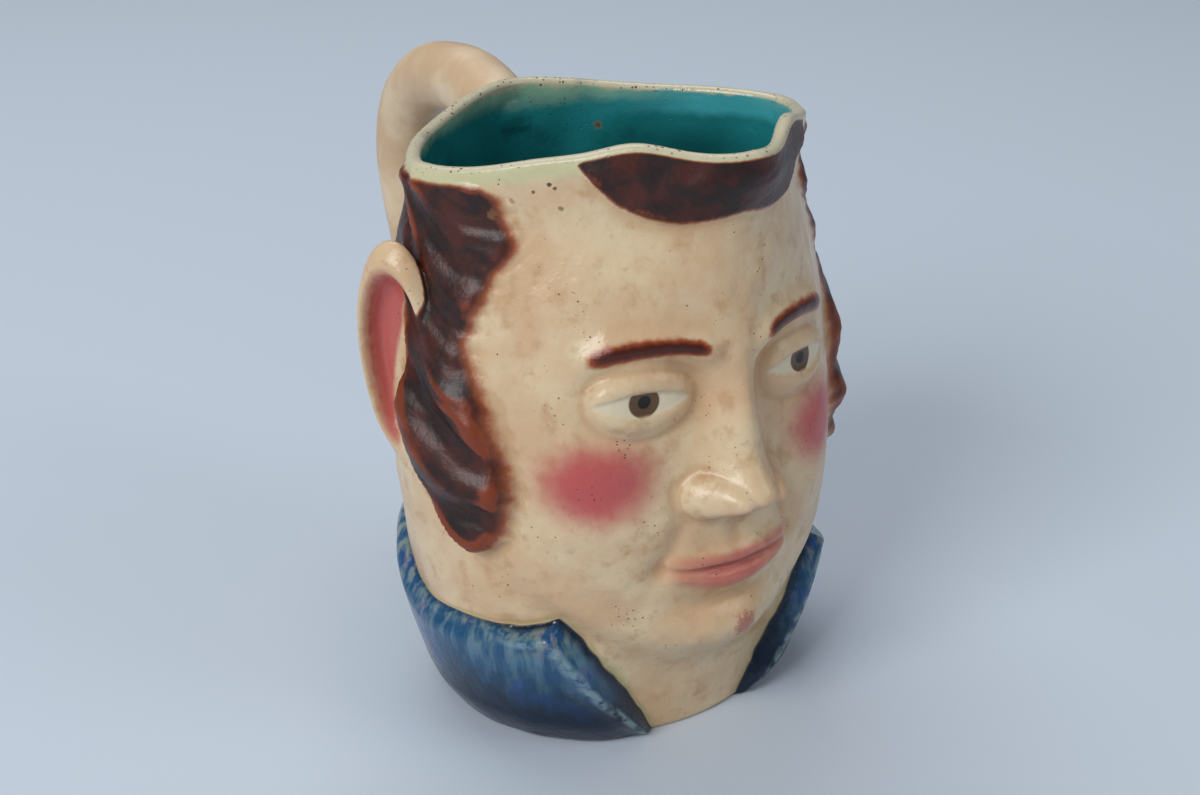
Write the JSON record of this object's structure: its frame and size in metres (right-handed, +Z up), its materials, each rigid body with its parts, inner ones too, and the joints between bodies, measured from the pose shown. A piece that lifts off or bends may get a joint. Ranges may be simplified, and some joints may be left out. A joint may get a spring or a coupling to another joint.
{
  "type": "toby jug",
  "caption": "Glazed earthenware character jug: a head with sideburns, ears and a turned-down collar, pouring lip over the brow, loop handle behind.",
  "frame": {"origin": "middle of the flat underside", "axes": "+Z up, the face and pouring lip look along -Y, the handle stands out along +Y, +X is across the head through both ears"},
  "size_m": [0.1684, 0.231, 0.2005],
  "materials": {
    "glazed_earthenware": "gloss lead glaze over painted slip: cream flesh, brown hair, blue collar, turquoise inside"
  },
  "bodies": {
    "root": {"jug": "glazed_earthenware"}
  },
  "joints": []
}
